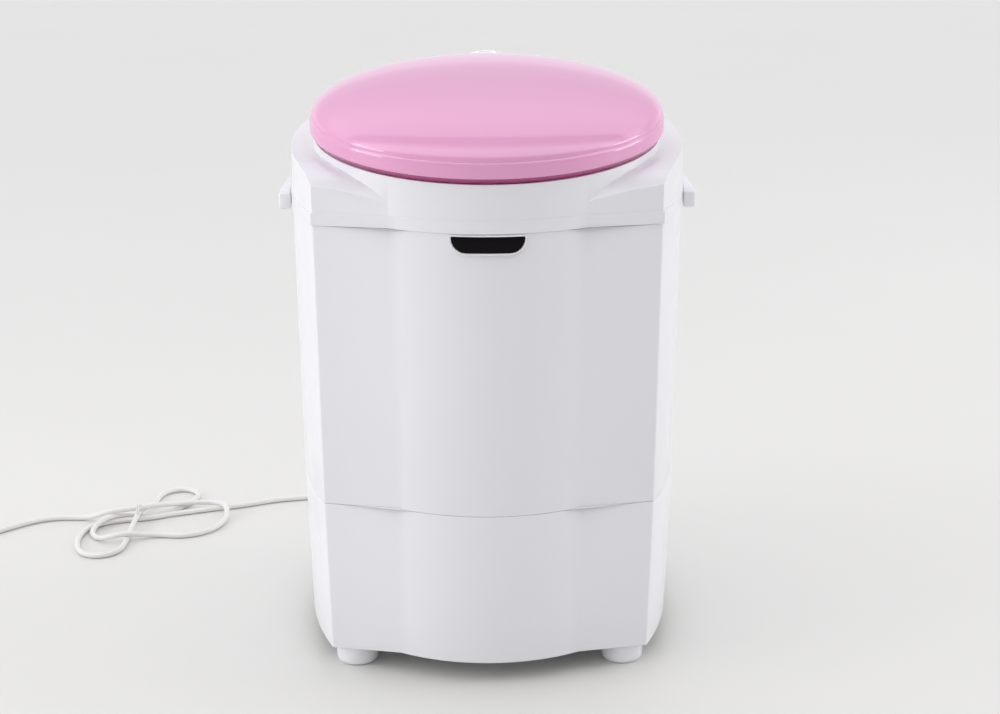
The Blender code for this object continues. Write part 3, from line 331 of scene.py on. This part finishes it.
cord_run = smooth_route(CORD_ROUTE, 4)
mains_cord = round_wire("mains_cord", cord_run, CORD_R, "casing", cord_pvc)
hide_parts("cord_to_loops", "cord_loops", "cord_to_plug")

TIE_X, TIE_Y, TIE_Z = -0.3817, 0.2318, 0.0092
TIE_WIDE, TIE_TALL = 0.0105, 0.0086
TIE_STEPS, TIE_PITCH, TIE_WIRE_R = 10, 0.0018, 0.0007
tie_stops = []
for i in range(25):
    turn = 2 * math.pi * i / TIE_STEPS
    tie_stops.append((TIE_X + TIE_PITCH * i / TIE_STEPS, TIE_Y + TIE_WIDE * math.cos(turn),
                      TIE_Z + TIE_TALL * math.sin(turn)))
tie_stops += [(-0.3770, 0.2260, 0.0200), (-0.3735, 0.2200, 0.0225), (-0.3700, 0.2150, 0.0220)]
wire_tie = round_wire("wire_tie", smooth_route(tie_stops, 3), TIE_WIRE_R, "casing",
                      cord_pvc)
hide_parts("cord_tie")

for name in ("plug_body", "strain_relief", "mains_lead"):
    nodes[name].material_slots[0].material = cord_pvc

# ---- Base housing --------------------------------------------------------------------------
# The lower part of the casing, injection moulded in glossy white and tapering to the floor. Its
# front corners are small radii, and the round front bulge meets the flat panels in a soft crease.
def worked_copy(node, name, body, skin):
    """A copy of a working part with its loose triangles joined up, ready for mesh work."""
    piece = bpy.data.objects.new(name, nodes[node].data.copy())
    bpy.context.scene.collection.objects.link(piece)
    piece.data.materials.clear()
    piece.data.materials.append(skin)
    only(piece)
    bpy.ops.object.mode_set(mode="EDIT")
    bpy.ops.mesh.select_all(action="SELECT")
    bpy.ops.mesh.remove_doubles(threshold=0.00001)
    bpy.ops.mesh.dissolve_limited(angle_limit=math.radians(0.7))
    bpy.ops.object.mode_set(mode="OBJECT")
    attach(piece, body)
    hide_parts(node)
    return piece


def pick_edges(piece, wanted):
    """Open a piece for editing with just the edges that pass the test selected."""
    only(piece)
    bpy.ops.object.mode_set(mode="EDIT")
    bpy.ops.mesh.select_mode(type="EDGE")
    bpy.ops.mesh.select_all(action="DESELECT")
    mesh = bmesh.from_edit_mesh(piece.data)
    for edge in mesh.edges:
        if wanted(edge):
            edge.select = True
    mesh.select_flush_mode()
    bmesh.update_edit_mesh(piece.data)


def upright_corner(edge):
    """An upright corner of the casing, where a front panel meets a side."""
    low, high = sorted(v.co.z for v in edge.verts)
    return high - low > 0.05 and len(edge.link_faces) == 2 and edge.calc_face_angle() > 0.80


def soften(piece, width, segments=3, angle=35, smooth=38):
    """Round every sharp edge with an applied bevel, and shade the faces between them smooth."""
    only(piece)
    rounding = piece.modifiers.new("rounding", "BEVEL")
    rounding.width = width
    rounding.segments = segments
    rounding.limit_method = "ANGLE"
    rounding.angle_limit = math.radians(angle)
    rounding.use_clamp_overlap = True
    rounding.miter_outer = "MITER_ARC"
    bpy.ops.object.modifier_apply(modifier=rounding.name)
    bpy.ops.object.shade_smooth_by_angle(angle=math.radians(smooth))


CASING_CORNER = 0.0016
SEAM_EDGE = 0.0005
white_gloss = plastic("white_gloss", (0.83, 0.83, 0.86), 0.24, grain=1400.0, depth=0.000012)



def casing_moulding(node, name):
    """A casing wall with small radii on its upright corners, fine edges and crisp creases."""
    piece = worked_copy(node, name, "casing", white_gloss)
    pick_edges(piece, upright_corner)
    bpy.ops.mesh.bevel(offset=CASING_CORNER, segments=4, affect="EDGES")
    bpy.ops.object.mode_set(mode="OBJECT")
    soften(piece, SEAM_EDGE, 5, 50, 19)


casing_moulding("base_housing", "base_moulding")


# ---- Bottom cover --------------------------------------------------------------------------
# A matt grey plate that closes the casing from below, held by four plated pan-head screws.
grey_matt = plastic("grey_matt", (0.55, 0.56, 0.58), 0.52, grain=700.0, depth=0.00004, cloud=0.08)
cover = worked_copy("bottom_cover", "cover_plate", "casing", grey_matt)
soften(cover, 0.0005, 2, 50)

drawn_metal = bpy.data.node_groups.new("drawn_metal", "ShaderNodeTree")
given, result = group_sockets(
    drawn_metal,
    [("Colour", "NodeSocketColor", (0.6, 0.6, 0.6, 1.0)), ("Gloss", "NodeSocketFloat", 0.3),
     ("Grain", "NodeSocketVector", (300.0, 300.0, 20.0)), ("Pits", "NodeSocketFloat", 0.0)],
    [("Colour", "NodeSocketColor"), ("Roughness", "NodeSocketFloat"),
     ("Normal", "NodeSocketVector")])
place = drawn_metal.nodes.new("ShaderNodeTexCoord").outputs["Object"]
stretch = drawn_metal.nodes.new("ShaderNodeVectorMath")
stretch.operation = "MULTIPLY"
drawn_metal.links.new(place, stretch.inputs[0])
drawn_metal.links.new(given.outputs["Grain"], stretch.inputs[1])
streak = noise(drawn_metal, stretch.outputs["Vector"], 1.0, 3.0)
cast = noise(drawn_metal, place, 420.0, 3.0)
dull = noise(drawn_metal, place, 26.0, 3.0)
tone = drawn_metal.nodes.new("ShaderNodeHueSaturation")
drawn_metal.links.new(given.outputs["Colour"], tone.inputs["Color"])
drawn_metal.links.new(
    maths(drawn_metal, "MULTIPLY_ADD", maths(drawn_metal, "ADD", streak, dull), 0.16, 0.84),
    tone.inputs["Value"])
drawn_metal.links.new(tone.outputs["Color"], result.inputs["Colour"])
drawn_metal.links.new(
    maths(drawn_metal, "MULTIPLY", given.outputs["Gloss"],
          maths(drawn_metal, "MULTIPLY_ADD", streak, 0.7, 0.65)), result.inputs["Roughness"])
relief = maths(drawn_metal, "ADD", maths(drawn_metal, "MULTIPLY", streak, 0.00001),
               maths(drawn_metal, "MULTIPLY", cast, given.outputs["Pits"]))
bump = drawn_metal.nodes.new("ShaderNodeBump")
bump.inputs["Distance"].default_value = 1.0
drawn_metal.links.new(relief, bump.inputs["Height"])
drawn_metal.links.new(bump.outputs["Normal"], result.inputs["Normal"])


def metal(name, colour, gloss, grain=(300.0, 300.0, 20.0), pits=0.0):
    """A bare or plated metal: the shared drawn-metal group feeding a Principled shader."""
    mat = bpy.data.materials.new(name)
    mat.use_nodes = True
    shader = mat.node_tree.nodes["Principled BSDF"]
    shader.inputs["Metallic"].default_value = 1.0
    face = mat.node_tree.nodes.new("ShaderNodeGroup")
    face.node_tree = drawn_metal
    face.inputs["Colour"].default_value = (*colour, 1.0)
    face.inputs["Gloss"].default_value = gloss
    face.inputs["Grain"].default_value = grain
    face.inputs["Pits"].default_value = pits
    for out, into in (("Colour", "Base Color"), ("Roughness", "Roughness"), ("Normal", "Normal")):
        mat.node_tree.links.new(face.outputs[out], shader.inputs[into])
    return mat


zinc_plate = metal("zinc_plate", (0.66, 0.67, 0.69), 0.28)


def turned_rings(name, centre, sides, rings, body, skin, closed=False):
    """A ring of edges, drawn out through (radius, height) steps as on a lathe."""
    x, y = centre
    bpy.ops.object.select_all(action="DESELECT")
    bpy.ops.mesh.primitive_circle_add(vertices=sides, radius=rings[0][0],
                                      location=(x, y, rings[0][1]))
    piece = bpy.context.object
    piece.name = name
    bpy.ops.object.transform_apply(location=True, rotation=False, scale=False)
    bpy.ops.object.mode_set(mode="EDIT")
    bpy.ops.mesh.select_mode(type="EDGE")
    bpy.ops.mesh.select_all(action="SELECT")
    for (r0, z0), (r1, z1) in zip(rings, rings[1:]):
        bpy.ops.mesh.extrude_edges_move(TRANSFORM_OT_translate={"value": (0.0, 0.0, z1 - z0)})
        bpy.ops.transform.resize(value=(r1 / r0, r1 / r0, 1.0), center_override=(x, y, z1))
    bpy.ops.mesh.select_all(action="SELECT")
    bpy.ops.mesh.remove_doubles(threshold=0.00002)
    if not closed:
        bpy.ops.mesh.select_all(action="DESELECT")
        bpy.ops.mesh.select_non_manifold()
        bpy.ops.mesh.edge_face_add()
    bpy.ops.mesh.select_all(action="SELECT")
    bpy.ops.mesh.normals_make_consistent(inside=False)
    bpy.ops.object.mode_set(mode="OBJECT")
    bpy.ops.object.shade_smooth_by_angle(angle=math.radians(32))
    piece.data.materials.append(skin)
    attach(piece, body)
    return piece


def place_from(low, high):
    """The middle in plan of a box given by two corners."""
    return (low[0] + high[0]) / 2, (low[1] + high[1]) / 2


for number in range(1, 5):
    low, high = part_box(f"cover_screw_{number}")
    x, y = place_from(low, high)
    head = low[2]
    screw = turned_rings(f"pan_head_screw_{number}", (x, y), 32, [
        (0.0016, high[2]), (0.0017, high[2] - 0.0004), (0.0017, head + 0.0022),
        (0.0040, head + 0.0022), (0.0041, head + 0.0019), (0.0040, head + 0.0012),
        (0.0036, head + 0.0004), (0.0030, head + 0.0001), (0.0021, head)], "casing", zinc_plate)
    pick_edges(screw, lambda edge: all(abs(v.co.z - head) < 0.00002 for v in edge.verts))
    bpy.ops.mesh.select_mode(type="FACE")
    bpy.ops.mesh.inset(thickness=0.0006)
    bpy.ops.transform.translate(value=(0.0, 0.0, 0.0009))
    bpy.ops.object.mode_set(mode="OBJECT")
    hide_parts(f"cover_screw_{number}")


# ---- Feet ----------------------------------------------------------------------------------
# Four short round moulded feet under the corners, slightly conical, with a rolled lower edge.
for node in ("foot_front_left", "foot_front_right", "foot_rear_left", "foot_rear_right"):
    low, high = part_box(node)
    r = (high[0] - low[0]) / 2
    top = high[2]
    foot = turned_rings(node + "_pad", place_from(low, high), 72, [
        (r, top), (r - 0.0002, 0.0050), (r - 0.0005, 0.0032), (r - 0.0013, 0.0014),
        (r - 0.0026, 0.0004), (r - 0.0042, 0.0), (r - 0.0085, 0.0), (r - 0.0090, 0.0008),
        (r - 0.0095, 0.0012), (0.0020, 0.0012)], "casing", white_gloss)
    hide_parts(node)


# ---- Drive under the tub -------------------------------------------------------------------
# A die-cast bearing housing with sintered bronze bushes and a rubber lip seal carries the
# pulsator's steel shaft. An alloy V-pulley on it is driven by a rubber belt from the motor.
die_cast = metal("die_cast", (0.52, 0.53, 0.55), 0.42, grain=(60.0, 60.0, 60.0), pits=0.00006)
bronze = metal("sintered_bronze", (0.55, 0.38, 0.16), 0.40, pits=0.00003)
black_rubber = plastic("black_rubber", (0.022, 0.022, 0.024), 0.62, grain=520.0, depth=0.00006,
                       cloud=0.25)
for node in ("pulsator_shaft", "motor_shaft", "timer_shaft", "hinge_pin", "capacitor_strap",
             "motor_bracket", "bracket_bolt_1", "bracket_bolt_2", "plug_pin_left",
             "plug_pin_right"):
    nodes[node].material_slots[0].material = zinc_plate
for node in ("bearing_housing", "motor_body", "large_pulley", "motor_pulley"):
    nodes[node].material_slots[0].material = die_cast
for node in ("lower_bush", "upper_bush"):
    nodes[node].material_slots[0].material = bronze
for node in ("shaft_seal", "drive_belt"):
    nodes[node].material_slots[0].material = black_rubber


# ---- Motor supply and drain ----------------------------------------------------------------
# A capacitor clipped to the wall, its leads and the motor's, and the grey drain pipe that runs
# from the strainer in the tub's floor to the ribbed hose spout in the back wall.
inner_white = plastic("inner_white", (0.78, 0.79, 0.81), 0.30, grain=1100.0, depth=0.00002)
for node in ("timer_body", "drain_pipe", "motor_lead", "capacitor_lead"):
    nodes[node].material_slots[0].material = grey_matt
for node in ("capacitor", "drain_collar"):
    nodes[node].material_slots[0].material = inner_white

spout = worked_copy("drain_spout", "hose_spout", "casing", inner_white)
soften(spout, 0.0004, 2, 40)


# ---- Body shell ----------------------------------------------------------------------------
# The tall middle part of the casing, in the same glossy white, standing on the base in a fine
# groove. Straight walls, a round front bulge and crisp front corners.
casing_moulding("body_shell", "body_moulding")


# ---- Wash tub ------------------------------------------------------------------------------
# A deep one-piece tub that hangs by its flange inside the neck. Twelve shallow scrubbing ribs
# run down its wall, and a slotted strainer covers the drain in its floor.
tub_low, tub_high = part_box("wash_tub")
TUB_AT = place_from(tub_low, tub_high)
TUB_FLOOR = 0.150
rim = tub_high[2]
tub = turned_rings("tub_moulding", TUB_AT, 180, [
    (0.1505, rim), (0.1505, rim - 0.0022), (0.1320, rim - 0.0022), (0.1310, rim - 0.0040),
    (0.1262, TUB_FLOOR + 0.0200), (0.1235, TUB_FLOOR + 0.0060), (0.1195, TUB_FLOOR - 0.0020),
    (0.0126, TUB_FLOOR - 0.0020), (0.0126, TUB_FLOOR), (0.1150, TUB_FLOOR),
    (0.1175, TUB_FLOOR + 0.0006), (0.1196, TUB_FLOOR + 0.0028), (0.1212, TUB_FLOOR + 0.0070),
    (0.1240, TUB_FLOOR + 0.0200), (0.1248, TUB_FLOOR + 0.0420), (0.1290, rim - 0.0300),
    (0.1299, rim - 0.0060), (0.1303, rim - 0.0030), (0.1312, rim - 0.0012),
    (0.1324, rim - 0.0003), (0.1338, rim), (0.1505, rim)], "casing", inner_white, closed=True)
RIB_LOW, RIB_HIGH, RIB_DEEP = TUB_FLOOR + 0.042, rim - 0.030, 0.0030
RIB_STEP, RIB_FROM, RIB_TO = 30.0, 12.0, 18.0
only(tub)
bpy.ops.object.mode_set(mode="EDIT")
bpy.ops.mesh.select_mode(type="FACE")
bpy.ops.mesh.select_all(action="DESELECT")
mesh = bmesh.from_edit_mesh(tub.data)
for face in mesh.faces:
    at = face.calc_center_median()
    turn = math.degrees(math.atan2(at.y - TUB_AT[1], at.x - TUB_AT[0])) % RIB_STEP
    inward = (at - Vector((*TUB_AT, at.z))).dot(face.normal) < 0.0
    face.select = inward and RIB_LOW < at.z < RIB_HIGH and RIB_FROM < turn < RIB_TO
bmesh.update_edit_mesh(tub.data)
bpy.ops.mesh.inset(thickness=0.0018, depth=RIB_DEEP, use_boundary=True)
bpy.ops.object.mode_set(mode="OBJECT")
soften(tub, 0.0008, 2, 40)
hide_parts("wash_tub")
nodes["drain_strainer"].material_slots[0].material = inner_white


# ---- Pulsator ------------------------------------------------------------------------------
# The ribbed disc in the floor of the tub that stirs the water. Three rounded fins, a raised
# hub with a steel screw, and a dished rim.
disc_z = TUB_FLOOR + 0.0040
pulsator = turned_rings("pulsator_disc", TUB_AT, 144, [
    (0.0200, disc_z), (0.0780, disc_z), (0.0780, disc_z + 0.0018), (0.0772, disc_z + 0.0034),
    (0.0755, disc_z + 0.0046), (0.0730, disc_z + 0.0050), (0.0600, disc_z + 0.0054),
    (0.0480, disc_z + 0.0062), (0.0360, disc_z + 0.0084), (0.0280, disc_z + 0.0108),
    (0.0210, disc_z + 0.0140), (0.0160, disc_z + 0.0172), (0.0130, disc_z + 0.0188),
    (0.0100, disc_z + 0.0196), (0.0060, disc_z + 0.0200)], "pulsator", inner_white)
FIN_ROOT, FIN_TIP, FIN_HALF, FIN_TALL, FIN_MIDDLE = 0.016, 0.071, 0.0042, 0.0190, 0.010
FIN_FALL, FIN_SWEEP = 0.22, 0.010
for number in range(3):
    bpy.ops.object.select_all(action="DESELECT")
    bpy.ops.mesh.primitive_cube_add(size=1.0, location=(0.0, (FIN_ROOT + FIN_TIP) / 2, FIN_MIDDLE))
    fin = bpy.context.object
    fin.scale = (2 * FIN_HALF, FIN_TIP - FIN_ROOT, FIN_TALL)
    bpy.ops.object.transform_apply(location=True, rotation=False, scale=True)
    bpy.ops.object.mode_set(mode="EDIT")
    bpy.ops.mesh.select_all(action="SELECT")
    bpy.ops.mesh.bevel(offset=0.0034, segments=5, affect="EDGES")
    bpy.ops.object.mode_set(mode="OBJECT")
    for vert in fin.data.vertices:
        reach = (vert.co.y - FIN_ROOT) / (FIN_TIP - FIN_ROOT)
        vert.co.z = vert.co.z * (1.0 - FIN_FALL * reach) + disc_z
        vert.co.x += FIN_SWEEP * math.sin(2.2 * reach)
    fin.rotation_euler.z = math.radians(120 * number)
    fin.location = (*TUB_AT, 0.0)
    bpy.ops.object.transform_apply(location=True, rotation=True, scale=False)
    only(pulsator)
    joint = pulsator.modifiers.new("fin", "BOOLEAN")
    joint.operation = "UNION"
    joint.object = fin
    joint.solver = "EXACT"
    bpy.ops.object.modifier_apply(modifier=joint.name)
    bpy.data.objects.remove(fin)
soften(pulsator, 0.0012, 3, 32)
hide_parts("pulsator")

screw_low, screw_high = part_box("pulsator_screw")
hub_screw = turned_rings("pulsator_hub_screw", TUB_AT, 48, [
    (0.0021, screw_low[2]), (0.0021, screw_high[2] - 0.0034), (0.0046, screw_high[2] - 0.0034),
    (0.0047, screw_high[2] - 0.0026), (0.0044, screw_high[2] - 0.0010),
    (0.0038, screw_high[2] - 0.0003), (0.0028, screw_high[2])], "pulsator", zinc_plate)
pick_edges(hub_screw, lambda edge: all(v.co.z > screw_high[2] - 0.0001 for v in edge.verts))
bpy.ops.mesh.select_mode(type="FACE")
bpy.ops.mesh.inset(thickness=0.0007)
bpy.ops.transform.translate(value=(0.0, 0.0, -0.0012))
bpy.ops.object.mode_set(mode="OBJECT")
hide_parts("pulsator_screw")


# ---- Top deck ------------------------------------------------------------------------------
# One glossy moulding: a proud rim band round the casing, shoulders that roll over at the front,
# the round neck that the lid closes on, and the small control pod at the back.
deck = worked_copy("top_deck", "deck_moulding", "casing", white_gloss)
soften(deck, 0.0008, 5, 40, 20)


# ---- Side grips ----------------------------------------------------------------------------
# A short moulded ledge clipped against the rim band on each side, for lifting the machine.
for node in ("grip_left", "grip_right"):
    grip = worked_copy(node, node + "_ledge", "casing", white_gloss)
    soften(grip, 0.0012, 3, 30)


# ---- Badge ---------------------------------------------------------------------------------
# A half-pill plate just under the deck: a thin chrome frame round a plain gloss black face.
chrome = metal("bright_chrome", (0.82, 0.82, 0.84), 0.07, grain=(40.0, 40.0, 40.0))
gloss_black = plastic("gloss_black", (0.006, 0.005, 0.006), 0.07)
gloss_black.node_tree.nodes["Principled BSDF"].inputs["Specular IOR Level"].default_value = 0.06
frame_piece = worked_copy("badge_frame", "badge_bezel", "casing", chrome)
soften(frame_piece, 0.0004, 3, 40)
face_piece = worked_copy("badge_plate", "badge_face", "casing", gloss_black)
soften(face_piece, 0.0003, 2, 40)


# ---- Timer knob ----------------------------------------------------------------------------
# A white knob with a fluted side and a bright ring, on the timer's stem in the control pod.
knob_low, knob_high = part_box("timer_knob")
KNOB_AT = place_from(knob_low, knob_high)
knob_r = (knob_high[0] - knob_low[0]) / 2
knob_top, knob_foot = knob_high[2], knob_low[2]
knob = turned_rings("timer_knob_cap", KNOB_AT, 120, [
    (knob_r - 0.0010, knob_foot), (knob_r - 0.0002, knob_foot + 0.0004),
    (knob_r, knob_foot + 0.0012), (knob_r - 0.0006, knob_top - 0.0030),
    (knob_r - 0.0009, knob_top - 0.0018), (knob_r - 0.0016, knob_top - 0.0008),
    (knob_r - 0.0027, knob_top - 0.0002), (knob_r - 0.0040, knob_top),
    (knob_r - 0.0060, knob_top), (0.0015, knob_top - 0.0003)], "timer", white_gloss)
pick_edges(knob, lambda edge: False)
bpy.ops.mesh.select_mode(type="FACE")
mesh = bmesh.from_edit_mesh(knob.data)
for face in mesh.faces:
    at = face.calc_center_median()
    step = round(math.degrees(math.atan2(at.y - KNOB_AT[1], at.x - KNOB_AT[0])) / 3.0 - 0.5)
    side = abs(face.normal.z) < 0.2 and face.calc_area() > 0.000002
    face.select = side and step % 5 in (0, 1)
bmesh.update_edit_mesh(knob.data)
bpy.ops.mesh.inset(thickness=0.0003, depth=-0.0006)
bpy.ops.object.mode_set(mode="OBJECT")
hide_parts("timer_knob")
ring = worked_copy("knob_ring", "knob_trim_ring", "timer", chrome)
soften(ring, 0.0003, 2, 40)


# ---- Lid -----------------------------------------------------------------------------------
# A round gloss-pink dome with a turned-down skirt, its lip painted a deeper pink as painted shade,
# a white liner with its outer rim painted the same dark pink as painted shade, and two hinge leaves
# on a steel pin at the back. It rests tilted to the front.
pink_gloss = plastic("pink_gloss", (0.80, 0.37, 0.60), 0.075, grain=1600.0, depth=0.000006,
                     cloud=0.02)
TILT = math.radians(7.5)
LIP_Z = 0.4706
LID_R = 0.1580
DOME_R = 0.1560
SKIRT_TOP = 0.0185
DOME_RISE = 0.0320
DOME_RINGS = 36
LIP_SHADE_TOP = 0.0053
LINER_SHADE_R = 0.148


def dome_rings(drop):
    """Rings up the dome from its rim to its crown, the given distance inside the surface."""
    rings = []
    for i in range(DOME_RINGS + 1):
        turn = math.pi / 2 * i / DOME_RINGS
        rings.append((max(0.0004, (DOME_R - drop) * math.cos(turn)),
                      SKIRT_TOP - drop + DOME_RISE * math.sin(turn)))
    return rings


def tip_forward(piece):
    """Lean a lid piece forward about the middle of the lip's plane."""
    only(piece)
    lean = Matrix.Translation((*TUB_AT, LIP_Z)) @ Matrix.Rotation(TILT, 4, "X")
    piece.data.transform(lean @ Matrix.Translation((-TUB_AT[0], -TUB_AT[1], 0.0)))


outside = [(0.1522, 0.0), (0.1532, 0.0003), (0.1546, 0.0014), (0.1560, 0.0030),
           (0.1570, 0.0044), (0.1576, 0.0052), (LID_R, 0.0060), (LID_R, 0.0080),
           (0.1579, 0.0108), (0.1577, 0.0140), (0.1573, 0.0164), (0.1567, 0.0178)]
inside = [(r, z) for r, z in reversed(dome_rings(0.0022))]
inside += [(0.1540, 0.0120), (0.1550, 0.0080), (0.1545, 0.0050), (0.1526, 0.0026),
           (0.1514, 0.0010), (0.1522, 0.0)]
lid = turned_rings("lid_dome", TUB_AT, 192, outside + dome_rings(0.0) + inside, "lid",
                   pink_gloss, closed=True)
# Painted shade: this dark pink stands in for the shadow under the lid's edge. It goes on the lip's
# lower faces and on the liner's outer rim.
pink_painted_shade = plastic("pink_painted_shade", (0.38, 0.055, 0.19), 0.10, grain=1600.0, depth=0.000006)
lid.data.materials.append(pink_painted_shade)
for face in lid.data.polygons:
    if max(lid.data.vertices[v].co.z for v in face.vertices) < LIP_SHADE_TOP:
        face.material_index = 1
tip_forward(lid)
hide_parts("lid_shell")

liner = worked_copy("lid_liner", "lid_liner_ring", "lid", inner_white)
soften(liner, 0.0005, 2, 30)
# Painted shade: the liner's outer rim is painted dark pink for the soft shadow under the lid's lip.
liner.data.materials.append(pink_painted_shade)
for face in liner.data.polygons:
    if math.hypot(face.center.x - TUB_AT[0], face.center.y - TUB_AT[1]) > LINER_SHADE_R:
        face.material_index = 1
for node in ("lid_hinge_leaf_left", "lid_hinge_leaf_right"):
    nodes[node].material_slots[0].material = white_gloss
nodes["hinge_bracket"].material_slots[0].material = white_gloss
